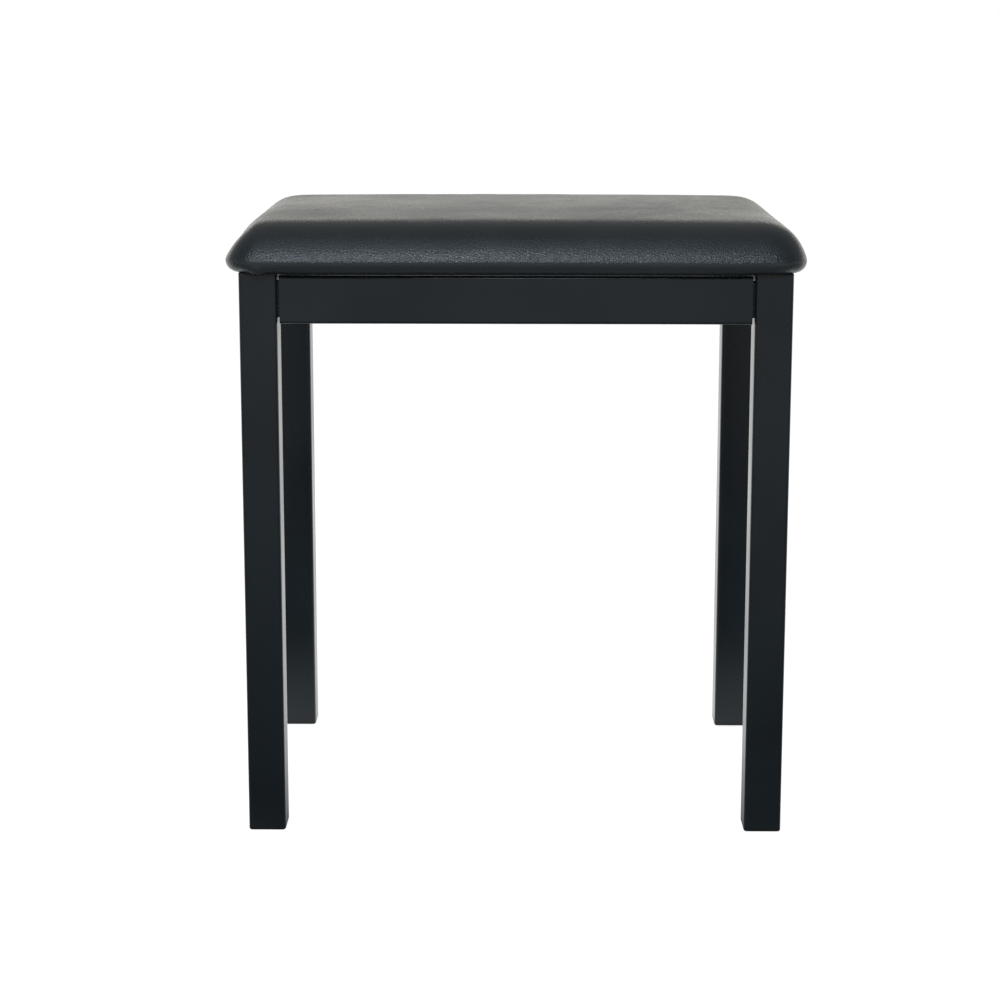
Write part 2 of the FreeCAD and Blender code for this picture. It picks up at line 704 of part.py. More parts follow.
BOARD_TOP = f"({BOARD_BOTTOM} + Sizes.board_thickness)"
WASHER_BOTTOM = f"({RAIL_BOTTOM} - Sizes.washer_thickness)"
SCREW_LENGTH = f"({BOARD_TOP} - Sizes.screw_short - {WASHER_BOTTOM})"

for corner_name, side, end in CORNERS:
    screw_x = f"{side} * {SIDE_RAIL_X}"
    screw_y = f"{end} * {SCREW_Y}"
    shank = "(Sizes.bolt_diameter / 2)"
    head = "(Sizes.screw_head / 2)"
    screw_end = f"(Sizes.screw_head_height + {SCREW_LENGTH})"
    screw_profile = (
        ("0", "0"),
        (f"({head} - Sizes.screw_head_height / 3)", "0"),
        (head, "(Sizes.screw_head_height / 3)"),
        (head, "Sizes.screw_head_height"),
        (shank, "Sizes.screw_head_height"),
        (shank, f"({screw_end} - Sizes.bolt_point)"),
        (f"({shank} - Sizes.bolt_point)", screw_end),
        ("0", screw_end),
    )
    screw = make_turned(f"seat_screw_{corner_name}", screw_profile)
    socket = start_sketch(screw, screw.Name + "_socket", "XY_Plane")
    draw_hexagon(socket, "Sizes.socket_width")
    add_pocket(screw, socket, "Sizes.socket_depth", along_normal=True)
    keep(screw, screw_x, screw_y, f"{WASHER_BOTTOM} - Sizes.screw_head_height")

    washer_name = f"seat_washer_{corner_name}"
    washer = make_ring(
        washer_name, "Sizes.washer_diameter", BOLT_HOLE, "Sizes.washer_thickness"
    )
    keep(washer, screw_x, screw_y, WASHER_BOTTOM)

    spacer = make_ring(
        f"seat_spacer_{corner_name}", "Sizes.spacer_diameter", BOLT_HOLE, "Sizes.cap_flange"
    )
    keep(spacer, screw_x, screw_y, TUBE_TOP)

    barrel = "(Sizes.tee_barrel / 2)"
    flange = "(Sizes.tee_flange / 2)"
    bore = f"({THREAD_HOLE} / 2)"
    flange_bottom = "(Sizes.tee_length - Sizes.tee_flange_height)"
    tee_profile = (
        (bore, "0"),
        (barrel, "0"),
        (barrel, flange_bottom),
        (flange, flange_bottom),
        (flange, "Sizes.tee_length"),
        (bore, "Sizes.tee_length"),
    )
    tee_nut = make_turned(f"seat_tee_nut_{corner_name}", tee_profile)
    keep(tee_nut, screw_x, screw_y, f"{BOARD_TOP} - Sizes.tee_length")


# ---------------------------------------------------------------- check and write

doc.recompute()
for thing in doc.Objects:
    if "Invalid" in thing.State or "Error" in thing.State:
        raise ValueError(f"{thing.Name} failed: {thing.State}")
for piece in pieces:
    if piece.Shape.isNull() or not piece.Shape.isValid():
        raise ValueError(f"{piece.Label} has no valid shape")

os.makedirs("parts", exist_ok=True)
for piece in pieces:
    piece.Shape.exportStep(f"parts/{piece.Label}.step")
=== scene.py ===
import bmesh
import bpy
import math
import random
from mathutils import Matrix, Vector, kdtree, noise


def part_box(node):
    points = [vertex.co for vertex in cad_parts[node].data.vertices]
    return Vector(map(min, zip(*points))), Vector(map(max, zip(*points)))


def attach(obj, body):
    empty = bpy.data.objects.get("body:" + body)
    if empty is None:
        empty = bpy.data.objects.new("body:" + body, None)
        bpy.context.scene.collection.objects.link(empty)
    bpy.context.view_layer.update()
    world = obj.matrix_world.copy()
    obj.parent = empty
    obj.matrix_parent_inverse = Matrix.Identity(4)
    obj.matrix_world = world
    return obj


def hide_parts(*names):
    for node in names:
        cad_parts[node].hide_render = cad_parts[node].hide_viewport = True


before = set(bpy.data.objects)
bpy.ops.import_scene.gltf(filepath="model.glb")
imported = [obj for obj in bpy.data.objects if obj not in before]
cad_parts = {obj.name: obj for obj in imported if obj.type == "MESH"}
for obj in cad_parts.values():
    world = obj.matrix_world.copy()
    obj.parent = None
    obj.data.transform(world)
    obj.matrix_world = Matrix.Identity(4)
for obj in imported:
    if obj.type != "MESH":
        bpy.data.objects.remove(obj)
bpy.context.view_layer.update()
MM = 0.001

# ------------------------------------------------------------------ the legs
# Four lengths of 30 mm square steel tube, cut square. Each pair is welded to its side
# rail, then the whole side frame is blasted and powder coated satin black, which leaves
# a faint orange peel, a few dust nibs and soft rub marks from packing.

COAT_DEEP = (0.0080, 0.0128, 0.0172, 1)
COAT_PALE = (0.0134, 0.0198, 0.0254, 1)
COAT_DUST = (0.060, 0.062, 0.064, 1)


def new_finish(name, specular):
    finish = bpy.data.materials.new(name)
    finish.use_nodes = True
    shader = finish.node_tree.nodes["Principled BSDF"]
    shader.inputs["Specular IOR Level"].default_value = specular
    return finish, shader


def step(finish, kind, inputs, **settings):
    """One node of the finish. An input is a plain value or another node's output."""
    node = finish.node_tree.nodes.new("ShaderNode" + kind)
    for name, value in settings.items():
        setattr(node, name, value)
    for name, value in inputs.items():
        if isinstance(value, bpy.types.NodeSocket):
            finish.node_tree.links.new(value, node.inputs[name])
        else:
            node.inputs[name].default_value = value
    return node


def feed(finish, shader, **outputs):
    """Join outputs to the shader's own sockets, named with _ for a space."""
    for name, output in outputs.items():
        finish.node_tree.links.new(output, shader.inputs[name.replace("_", " ")])


def place_on(finish, stretch=(1, 1, 1)):
    """Position on the piece, in metres, closer along an axis with a larger stretch."""
    place = step(finish, "TexCoord", {}).outputs["Object"]
    return step(finish, "Mapping", {"Vector": place, "Scale": stretch}).outputs["Vector"]


def cloud(finish, place, per_metre, detail=2.0, roughness=0.5, bend=0.0):
    """Soft patches, per_metre of them to the metre, as a number about 0.5."""
    inputs = {"Vector": place, "Scale": per_metre, "Detail": detail}
    inputs.update({"Roughness": roughness, "Distortion": bend})
    return step(finish, "TexNoise", inputs).outputs["Fac"]


def spread(finish, value, low, high, to_low, to_high):
    """Value moved from the range low..high to another, and kept inside it."""
    inputs = {"Value": value, "From Min": low, "From Max": high}
    inputs.update({"To Min": to_low, "To Max": to_high})
    return step(finish, "MapRange", inputs).outputs["Result"]


def times(finish, first, second):
    return step(finish, "Math", {0: first, 1: second}, operation="MULTIPLY").outputs[0]


def plus(finish, first, second):
    return step(finish, "Math", {0: first, 1: second}, operation="ADD").outputs[0]


def tint(finish, share, first, second):
    """Colour between first, at share 0, and second, at share 1."""
    return step(finish, "Mix", {0: share, 6: first, 7: second}, data_type="RGBA").outputs[2]


def relief(finish, height, depth, under=None):
    """Raise the surface by height times depth, over the relief under it."""
    inputs = {"Height": height, "Distance": depth, "Strength": 1.0}
    if under is not None:
        inputs["Normal"] = under
    return step(finish, "Bump", inputs).outputs["Normal"]


def specks(finish, per_metre, size, share):
    """Scattered round specks: size is their share of a cell, share how many cells."""
    inputs = {"Vector": place_on(finish), "Scale": per_metre}
    cell = step(finish, "TexVoronoi", inputs)
    dot = spread(finish, cell.outputs["Distance"], size * 0.5, size, 1, 0)
    pick = step(finish, "SeparateColor", {0: cell.outputs["Color"]}).outputs[0]
    keep = step(finish, "Math", {0: pick, 1: 1 - share}, operation="GREATER_THAN").outputs[0]
    return times(finish, dot, keep)


def powder_coat(name, along):
    """Satin black powder coating. Rub marks run along the tube, given as a stretch."""
    finish, shader = new_finish(name, 0.28)
    place = place_on(finish)
    patches = cloud(finish, place, 9, 4)
    rubbed = cloud(finish, place_on(finish, along), 60, 5, 0.6)
    nibs = specks(finish, 240, 0.10, 0.05)
    base = tint(finish, spread(finish, patches, 0.35, 0.65, 0, 1), COAT_DEEP, COAT_PALE)
    base = tint(finish, times(finish, nibs, 0.35), base, COAT_DUST)
    gloss = spread(finish, rubbed, 0.3, 0.7, 0.21, 0.30)
    gloss = plus(finish, gloss, spread(finish, patches, 0.35, 0.65, -0.025, 0.025))
    peel = relief(finish, cloud(finish, place, 420, 2), 0.022 * MM)
    fine = relief(finish, cloud(finish, place, 1700, 2), 0.006 * MM, peel)
    raised = relief(finish, nibs, 0.05 * MM, fine)
    feed(finish, shader, Base_Color=base, Roughness=gloss, Normal=raised)
    return finish


def refinish(names, finish):
    """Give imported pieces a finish, leaving their shape as it is."""
    for name in names:
        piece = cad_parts[name]
        for slot in piece.material_slots:
            slot.material = finish


CORNERS = ("front_left", "front_right", "rear_left", "rear_right")

upright_coat = powder_coat("upright_coat", (1, 1, 0.06))
refinish(["leg_" + corner for corner in CORNERS], upright_coat)

# ------------------------------------------------------------------ the rails
# Front, rear and side rails are 38 x 19 mm steel tube with the same coating. The side
# rails are welded between the legs; the front and rear rails are bolted on afterwards
# and stand 2 mm off the legs, so their cut ends show as a thin dark line.

cross_rail_coat = powder_coat("cross_rail_coat", (0.06, 1, 1))
refinish(["rail_front", "rail_rear"], cross_rail_coat)
side_rail_coat = powder_coat("side_rail_coat", (1, 0.06, 1))
refinish(["rail_left", "rail_right"], side_rail_coat)

# ------------------------------------------------------------------ the welds
# One fillet bead at each end of a side rail, down its inner face and round under it,
# laid by hand in overlapping pools and coated with the frame.

BEAD_SIZE = 2.7 * MM
BEAD_PITCH = 1.7 * MM
BEAD_STEP = 0.28 * MM
BEAD_SIDES = 7
BEAD_BEND_STEPS = 12
BEAD_END_STEPS = 3
BEAD_SINK = 0.3 * MM
BEAD_ROUND = 1.25
BEAD_FADE = 8
RAIL_BEND = 2.5 * MM


def new_piece(name, points, faces, finish, smooth=True):
    """A mesh object made from points and faces, with doubled points joined."""
    mesh = bpy.data.meshes.new(name)
    mesh.from_pydata([tuple(p) for p in points], [], faces)
    work = bmesh.new()
    work.from_mesh(mesh)
    bmesh.ops.remove_doubles(work, verts=work.verts, dist=1e-6)
    bmesh.ops.dissolve_degenerate(work, edges=work.edges, dist=1e-7)
    bmesh.ops.recalc_face_normals(work, faces=work.faces)
    work.to_mesh(mesh)
    work.free()
    mesh.polygons.foreach_set("use_smooth", [smooth] * len(mesh.polygons))
    mesh.materials.append(finish)
    piece = bpy.data.objects.new(name, mesh)
    bpy.context.scene.collection.objects.link(piece)
    return piece


def skin(rings, capped=True):
    """Faces between rings of equal length, numbered ring after ring."""
    count = len(rings[0])
    faces = []
    for ring in range(len(rings) - 1):
        for place in range(count):
            other = (place + 1) % count
            low, high = ring * count, (ring + 1) * count
            faces.append((low + place, low + other, high + other, high + place))
    if capped:
        faces.append(tuple(range(count))[::-1])
        faces.append(tuple(range((len(rings) - 1) * count, len(rings) * count)))
    return faces


def bead_path(inner, outer, low, high, side):
    """Points down the rail's inner face and along under it, each with the way out."""
    path = []
    bend_x, bend_z = inner + side * RAIL_BEND, low + RAIL_BEND
    length = high - bend_z
    for n in range(int(length / BEAD_STEP)):
        path.append((Vector((inner, 0, high - n * BEAD_STEP)), Vector((-side, 0, 0))))
    for n in range(BEAD_BEND_STEPS + 1):
        turn = n / BEAD_BEND_STEPS * math.pi / 2
        way = Vector((-side * math.cos(turn), 0, -math.sin(turn)))
        path.append((Vector((bend_x, 0, bend_z)) + way * RAIL_BEND, way))
    run = abs(outer - bend_x) - RAIL_BEND
    for n in range(1, int(run / BEAD_STEP)):
        path.append((Vector((bend_x + side * n * BEAD_STEP, 0, low)), Vector((0, 0, -1))))
    return path


def lay_bead(corner, seed):
    """One bead, laid in pools that overlap and thin out at both ends."""
    low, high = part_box("rail_left" if "left" in corner else "rail_right")
    side = -1 if "left" in corner else 1
    end = -1 if "front" in corner else 1
    inner, outer = (high.x, low.x) if side < 0 else (low.x, high.x)
    joint = end * high.y
    path = bead_path(inner, outer, low.z, high.z, side)[BEAD_END_STEPS:-BEAD_END_STEPS]
    points, rings = [], []
    for n, (spot, way) in enumerate(path):
        run = n * BEAD_STEP
        pool = (run / BEAD_PITCH) % 1.0
        wander = noise.noise(Vector((run * 300, seed, 0)))
        size = BEAD_SIZE * (0.86 + 0.16 * math.sqrt(1 - pool) + 0.07 * wander)
        taper = min(1.0, (n + 1) / BEAD_FADE, (len(path) - n) / BEAD_FADE)
        size *= math.sqrt(taper)
        back = Vector((0, -end, 0))
        ring = [spot - way * BEAD_SINK + Vector((0, joint + end * BEAD_SINK, 0))]
        for k in range(BEAD_SIDES):
            turn = k / (BEAD_SIDES - 1) * math.pi / 2
            out, along = math.cos(turn) ** BEAD_ROUND, math.sin(turn) ** BEAD_ROUND
            swell = 1 + 0.06 * math.sin(2 * turn)
            spot_on = spot + way * size * out * swell + back * size * along * swell
            ring.append(spot_on + Vector((0, joint, 0)))
        points.extend(ring)
        rings.append(ring)
    bead = new_piece("weld_bead_" + corner, points, skin(rings), weld_coat)
    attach(bead, "root")
    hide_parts("weld_" + corner)


weld_coat = powder_coat("weld_coat", (1, 1, 1))
for number, corner in enumerate(CORNERS):
    lay_bead(corner, number * 5.3)

# ------------------------------------------------------------------ feet and leg caps
# Moulded black plastic plugs pressed into both ends of each leg: a 3 mm foot that keeps
# the tube off the floor, and a 2 mm cap under the seat. Spark-eroded mould texture,
# with the feet scuffed grey where they drag on the floor.

PLASTIC_DEEP = (0.0050, 0.0060, 0.0068, 1)
PLASTIC_PALE = (0.0105, 0.0118, 0.0128, 1)
SCUFF_GREY = (0.060, 0.061, 0.060, 1)
SCUFFED_BELOW = 2.2 * MM
NO_SCUFFS = -1


def moulded_plastic(name, scuffed_below, specular):
    """Black plastic. Drag marks end at the height scuffed_below; NO_SCUFFS has none."""
    finish, shader = new_finish(name, specular)
    place = place_on(finish)
    patches = cloud(finish, place, 30, 3)
    base = tint(finish, spread(finish, patches, 0.35, 0.65, 0, 1), PLASTIC_DEEP, PLASTIC_PALE)
    height = step(finish, "SeparateXYZ", {0: place}).outputs[2]
    low_down = spread(finish, height, 0.0, scuffed_below, 1, 0)
    scratches = cloud(finish, place_on(finish, (1, 1, 9)), 160, 5, 0.7)
    scuffs = times(finish, low_down, spread(finish, scratches, 0.48, 0.66, 0, 0.75))
    base = tint(finish, scuffs, base, SCUFF_GREY)
    gloss = plus(finish, spread(finish, patches, 0.3, 0.7, 0.42, 0.52), times(finish, scuffs, 0.2))
    pits = step(finish, "TexVoronoi", {"Vector": place, "Scale": 1500}).outputs["Distance"]
    texture = relief(finish, pits, 0.02 * MM)
    texture = relief(finish, scratches, 0.03 * MM, texture)
    feed(finish, shader, Base_Color=base, Roughness=gloss, Normal=texture)
    return finish


foot_plastic = moulded_plastic("foot_plastic", SCUFFED_BELOW, 0.32)
plug_plastic = moulded_plastic("plug_plastic", NO_SCUFFS, 0.32)
refinish(["foot_" + corner for corner in CORNERS], foot_plastic)
refinish(["leg_cap_" + corner for corner in CORNERS], plug_plastic)

# ------------------------------------------------------------------ the bolted joints
# A moulded connector fills each end of the front and rear rails and holds a zinc-plated
# nut. A black-oxide countersunk bolt goes through the leg and the connector into it,
# its head flush in a dimple pressed into the leg.

ZINC_BRIGHT = (0.62, 0.63, 0.64, 1)
ZINC_DULL = (0.42, 0.43, 0.43, 1)
OXIDE_DEEP = (0.012, 0.014, 0.016, 1)
OXIDE_WORN = (0.050, 0.053, 0.056, 1)


def plated_steel():
    """Bright zinc: a fine crystalline bloom, dulled in patches, with faint tool lines."""
    finish, shader = new_finish("zinc_plate", 0.5)
    shader.inputs["Metallic"].default_value = 1
    place = place_on(finish)
    bloom = step(finish, "TexVoronoi", {"Vector": place, "Scale": 900}).outputs["Distance"]
    dull = cloud(finish, place, 140, 4)
    base = tint(finish, spread(finish, dull, 0.35, 0.7, 0, 1), ZINC_BRIGHT, ZINC_DULL)
    gloss = plus(finish, spread(finish, dull, 0.3, 0.7, 0.24, 0.40), times(finish, bloom, 0.08))
    lines = cloud(finish, place_on(finish, (1, 1, 12)), 300, 3)
    feed(finish, shader, Base_Color=base, Roughness=gloss, Normal=relief(finish, lines, 0.02 * MM))
    return finish


def black_oxide():
    """Blackened steel, worn paler in patches."""
    finish, shader = new_finish("black_oxide", 0.5)
    shader.inputs["Metallic"].default_value = 0.6
    place = place_on(finish)
    worn = cloud(finish, place, 260, 5, 0.65)
    base = tint(finish, spread(finish, worn, 0.45, 0.75, 0, 1), OXIDE_DEEP, OXIDE_WORN)
    gloss = spread(finish, worn, 0.3, 0.7, 0.30, 0.46)
    feed(finish, shader, Base_Color=base, Roughness=gloss, Normal=relief(finish, worn, 0.02 * MM))
    return finish


zinc_plate = plated_steel()
connector_plastic = moulded_plastic("connector_plastic", NO_SCUFFS, 0.12)
refinish(["connector_" + corner for corner in CORNERS], connector_plastic)
refinish(["connector_nut_" + corner for corner in CORNERS], zinc_plate)
refinish(["frame_bolt_" + corner for corner in CORNERS], black_oxide())

# ------------------------------------------------------------------ the seat board
# 15 mm plywood, five plies, sawn to size and drilled for the tee nuts that the seat
# screws run into. Unfinished: rotary-cut veneer on the faces, banded plies on the edges.

VENEER_PALE = (0.50, 0.335, 0.185, 1)
VENEER_DARK = (0.33, 0.200, 0.100, 1)
PLY_DARK = (0.20, 0.115, 0.055, 1)
PLY_THICKNESS = 3 * MM


def plywood():
    """Veneer on the flat faces and banded plies on the upright edges."""
    finish, shader = new_finish("plywood", 0.35)
    place = place_on(finish)
    rings = cloud(finish, place_on(finish, (0.08, 1, 1)), 26, 6, 0.6, 0.6)
    pores = cloud(finish, place_on(finish, (0.05, 1, 1)), 900, 3, 0.6)
    face = tint(finish, spread(finish, rings, 0.35, 0.65, 0, 1), VENEER_PALE, VENEER_DARK)
    face = tint(finish, spread(finish, pores, 0.55, 0.75, 0, 0.45), face, PLY_DARK)
    height = step(finish, "SeparateXYZ", {0: place}).outputs[2]
    plies = step(finish, "Math", {0: height, 1: PLY_THICKNESS * 2}, operation="MODULO").outputs[0]
    cross_ply = spread(finish, plies, PLY_THICKNESS * 0.97, PLY_THICKNESS * 1.03, 0, 1)
    edge = tint(finish, cross_ply, VENEER_PALE, PLY_DARK)
    edge = tint(finish, spread(finish, pores, 0.5, 0.7, 0, 0.3), edge, VENEER_DARK)
    geometry = step(finish, "NewGeometry", {})
    upright = step(finish, "SeparateXYZ", {0: geometry.outputs["Normal"]}).outputs[2]
    flat = step(finish, "Math", {0: upright}, operation="ABSOLUTE").outputs[0]
    base = tint(finish, spread(finish, flat, 0.4, 0.6, 0, 1), edge, face)
    gloss = spread(finish, rings, 0.3, 0.7, 0.55, 0.7)
    feed(finish, shader, Base_Color=base, Roughness=gloss, Normal=relief(finish, pores, 0.06 * MM))
    return finish


refinish(["seat_board"], plywood())
refinish(["seat_tee_nut_" + corner for corner in CORNERS], zinc_plate)

# ------------------------------------------------------------------ the cushion's form
# The foam and the leathercloth over it share one form: straight sides with softly
# squared corners, widest near the bottom, rolling over a wide shoulder to a low crown,
# and turned in under the board. It is built as rings round the seat, from the top down.

HALF_WIDTH = 229.9 * MM
HALF_DEPTH = 166.8 * MM
SHOULDER_X = 54 * MM
SHOULDER_Y = 62 * MM
CORNER_SQUARENESS = 4.75
SIDE_POWER = 4.2
TOP_POWER = 1.22
WIDEST = 467.5 * MM
SHOULDER_RISE = 29.0 * MM
CROWN = 3.2 * MM
UNDER_ROLL = 9.2 * MM
UNDERSIDE = 458.1 * MM
SIDE_PULL = 1.0 * MM
CRUSH = 0.36
CRUSH_WIDTH = 24 * MM
CRUSH_MIDDLE = -122 * MM
CRUSH_LENGTH = 46 * MM
CORE_X = HALF_WIDTH - SHOULDER_X
CORE_Y = HALF_DEPTH - SHOULDER_Y
ACROSS = 88
DEEP = 56
ROUND = 18
SHOULDER_STEPS = 26
UNDER_STEPS = 9


def ring_places():
    """Each place round the seat: its point on the core and its share of the reach."""
    places = []
    for turn in range(4):
        sx, sy = ((1, 1), (-1, 1), (-1, -1), (1, -1))[turn]
        corner = (sx * CORE_X, sy * CORE_Y)
        angles = [n / ROUND * math.pi / 2 for n in range(ROUND + 1)]
        if turn % 2:
            angles = angles[::-1]
        for angle in angles:
            power = 2 / CORNER_SQUARENESS
            share_x = max(0.0, math.cos(angle)) ** power
            share_y = max(0.0, math.sin(angle)) ** power
            places.append((corner, (sx * share_x, sy * share_y), 0.0))
        if turn % 2 == 0:
            for n in range(1, ACROSS):
                x = CORE_X * sx * (1 - 2 * n / ACROSS)
                pull = math.cos(math.pi / 2 * x / CORE_X) ** 2
                places.append(((x, sy * CORE_Y), (0, sy), pull))
        else:
            for n in range(1, DEEP):
                y = CORE_Y * sy * (1 - 2 * n / DEEP)
                pull = math.cos(math.pi / 2 * y / CORE_Y) ** 2
                places.append(((sx * CORE_X, y), (sx, 0), pull))
    return places


PLACES = ring_places()


def crown_at(x, y):
    """Extra height of the low crown, most in the middle."""
    fall = (1 - min(1, (x / HALF_WIDTH) ** 2)) * (1 - min(1, (y / HALF_DEPTH) ** 2))
    return CROWN * fall


def crush_at(x, y):
    """Share of the shoulder's height lost where the front left corner is crushed."""
    inside = min(1.0, max(0.0, 1 - (x + HALF_WIDTH) / CRUSH_WIDTH))
    run = math.exp(-(((y - CRUSH_MIDDLE) / CRUSH_LENGTH) ** 2))
    return CRUSH * inside * run


def seat_ring(share, inset, height, crowned):
    """A ring at a share of the shoulder's reach, less an inset, at a height."""
    ring = []
    for (core_x, core_y), (share_x, share_y), pull in PLACES:
        pulled = SIDE_PULL * pull * max(0.0, share) ** 3
        reach_x = max(0.0, SHOULDER_X * share - inset - pulled)
        reach_y = max(0.0, SHOULDER_Y * share - inset - pulled)
        x, y = core_x + share_x * reach_x, core_y + share_y * reach_y
        z = height
        if crowned:
            z += crown_at(x, y) - crush_at(x, y) * max(0.0, height - WIDEST)
        ring.append(Vector((x, y, z)))
    return ring


def shoulder_profile(depth):
    """(share, inset, height) from the core to the widest line, depth inside the skin."""
    profile = []
    for n in range(SHOULDER_STEPS + 1):
        turn = n / SHOULDER_STEPS
        share = math.sin(turn * math.pi / 2) ** 0.9
        fill = max(0.0, 1 - share ** SIDE_POWER)
        height = WIDEST + SHOULDER_RISE * fill ** (1 / TOP_POWER)
        out = share ** 4
        profile.append((share, depth * out, height - depth * (1 - out)))
    return profile


def under_profile(depth, bottom):
    """(share, inset, height) from the widest line round to the flat underside."""
    profile = []
    for n in range(1, UNDER_STEPS + 1):
        turn = n / UNDER_STEPS * math.pi / 2
        inset = (UNDER_ROLL - depth) * (1 - math.cos(turn)) + depth
        height = WIDEST - (WIDEST - bottom) * math.sin(turn)
        profile.append((1.0, inset, height))
    return profile


def core_sheet(first, height, turned):
    """Points and faces that fill the core rectangle at a height, numbered from first."""
    points, faces = [], []
    for row in range(DEEP + 1):
        for column in range(ACROSS + 1):
            x = CORE_X * (2 * column / ACROSS - 1)
            y = CORE_Y * (2 * row / DEEP - 1)
            points.append(Vector((x, y, height + crown_at(x, y) * (not turned))))
    for row in range(DEEP):
        for column in range(ACROSS):
            at = first + row * (ACROSS + 1) + column
            quad = (at, at + 1, at + ACROSS + 2, at + ACROSS + 1)
            faces.append(quad[::-1] if turned else quad)
    return points, faces


# ------------------------------------------------------------------ how the cover sits
# Stapling pulls the leathercloth down on the foam, which presses back and swells a
# little between the edges. A closed pad of cloth under pressure finds this shape, and
# the foam and the cover below take it on.

VOXEL = 6 * MM
SLACK = 1.0 * MM
PAD_RINGS = (0.7, 0.35, 0.0)
STAPLED_BELOW = 7 * MM
FOAM_HOLD = 0.25
LOOSE_CLOTH = -0.004
SWELL_LIMIT = 2.0 * MM
FOAM_EVENS = 26 * MM
SWELL_STARTS = 12 * MM
SETTLING_FRAMES = 20


def whole_pad():
    """The pad as one closed skin, a little small, so that it can swell to its size."""
    rings = [seat_ring(s, i, h, True) for s, i, h in shoulder_profile(SLACK)]
    bottom = UNDERSIDE + SLACK
    rings += [seat_ring(s, i, h, False) for s, i, h in under_profile(SLACK, bottom)]
    rings += [seat_ring(share, 0, bottom, False) for share in PAD_RINGS]
    points = [p for ring in rings for p in ring]
    faces = skin(rings, capped=False)
    for height, turned in ((WIDEST + SHOULDER_RISE - SLACK, False), (bottom, True)):
        sheet_points, sheet_faces = core_sheet(len(points), height, turned)
        points, faces = points + sheet_points, faces + sheet_faces
    pad = new_piece("pad_to_settle", points, faces, weld_coat)
    even = pad.modifiers.new("even", "REMESH")
    even.mode = "VOXEL"
    even.voxel_size = VOXEL
    ready = pad.evaluated_get(bpy.context.evaluated_depsgraph_get())
    mesh = bpy.data.meshes.new_from_object(ready)
    pad.modifiers.clear()
    pad.data = mesh
    return pad


def settled_cover():
    """Cloth simulation: loose cloth, pressed out and held back by the foam, and stapled
    below. Gives the pad's spots and how far each one has moved."""
    pad = whole_pad()
    before = [v.co.copy() for v in pad.data.vertices]
    held = pad.vertex_groups.new(name="held")
    for n, spot in enumerate(before):
        stapled = 1 - min(1.0, max(0.0, (spot.z - WIDEST) / STAPLED_BELOW))
        held.add([n], max(stapled, FOAM_HOLD), "REPLACE")
    cloth = pad.modifiers.new("cloth", "CLOTH")
    rules = cloth.settings
    rules.quality = 5
    rules.mass = 0.3
    rules.tension_stiffness = 15
    rules.compression_stiffness = 15
    rules.shear_stiffness = 5
    rules.bending_stiffness = 3
    rules.use_pressure = True
    rules.uniform_pressure_force = 4
    rules.effector_weights.gravity = 0
    rules.vertex_group_mass = "held"
    rules.pin_stiffness = 1
    rules.shrink_min = LOOSE_CLOTH
    cloth.point_cache.frame_start, cloth.point_cache.frame_end = 1, SETTLING_FRAMES
    for number in range(1, SETTLING_FRAMES + 1):
        bpy.context.scene.frame_set(number)
    after = pad.evaluated_get(bpy.context.evaluated_depsgraph_get()).to_mesh()
    moves = [v.co - spot for v, spot in zip(after.vertices, before)]
    for move in moves:
        if move.length > SWELL_LIMIT:
            move.length = SWELL_LIMIT
    near = kdtree.KDTree(len(before))
    for n, spot in enumerate(before):
        near.insert(spot, n)
    near.balance()
    bpy.data.objects.remove(pad)
    bpy.context.scene.frame_set(1)
    return near, moves


SETTLED, MOVES = settled_cover()


def swollen(point):
    """The point moved as the settled cover moved near it, evened out by the foam."""
    total, weight = Vector((0, 0, 0)), 0.0
    if SETTLED is not None:
        for spot, n, distance in SETTLED.find_range(point, FOAM_EVENS):
            share = (1 - distance / FOAM_EVENS) ** 2
            total += MOVES[n] * share
            weight += share
    if weight == 0:
        return point
    free = min(1.0, max(0.0, (point.z - WIDEST) / SWELL_STARTS))
    return point + total / weight * free


# ------------------------------------------------------------------ the foam pad
# Cream open-cell polyurethane foam, 25 mm over the board and wrapped down round its
# edges, glued to the board. Knife-cut cells show on every face.

FOAM_DEPTH = 1.5 * MM
FOAM_GAP = 0.3 * MM
FOAM_LIFT = 0.4 * MM
FOAM_RINGS = (0.6, 0.3, 0.0)
FOAM_PALE = (0.72, 0.64, 0.42, 1)
FOAM_SHADE_AND_YELLOWING = (0.50, 0.42, 0.24, 1)


def open_foam():
    """Small and large open cells with painted shade darkening their hollows, yellowed in patches.
    """
    finish, shader = new_finish("open_foam", 0.2)
    place = place_on(finish)
    cells = step(finish, "TexVoronoi", {"Vector": place, "Scale": 900}).outputs["Distance"]
    large = step(finish, "TexVoronoi", {"Vector": place, "Scale": 330}).outputs["Distance"]
    patches = cloud(finish, place, 14, 3)
    # painted shade: the hollows of the cells are darkened; the yellowed patches below are the
    # foam's own colour
    hollow_shade = spread(finish, plus(finish, cells, times(finish, large, 0.5)), 0.2, 0.9, 1, 0)
    base = tint(finish, hollow_shade, FOAM_PALE, FOAM_SHADE_AND_YELLOWING)
    base = tint(finish, spread(finish, patches, 0.3, 0.7, 0, 0.3), base, FOAM_SHADE_AND_YELLOWING)
    rough = relief(finish, cells, -0.5 * MM)
    rough = relief(finish, large, -0.4 * MM, rough)
    feed(finish, shader, Base_Color=base, Normal=rough)
    shader.inputs["Roughness"].default_value = 0.9
    return finish


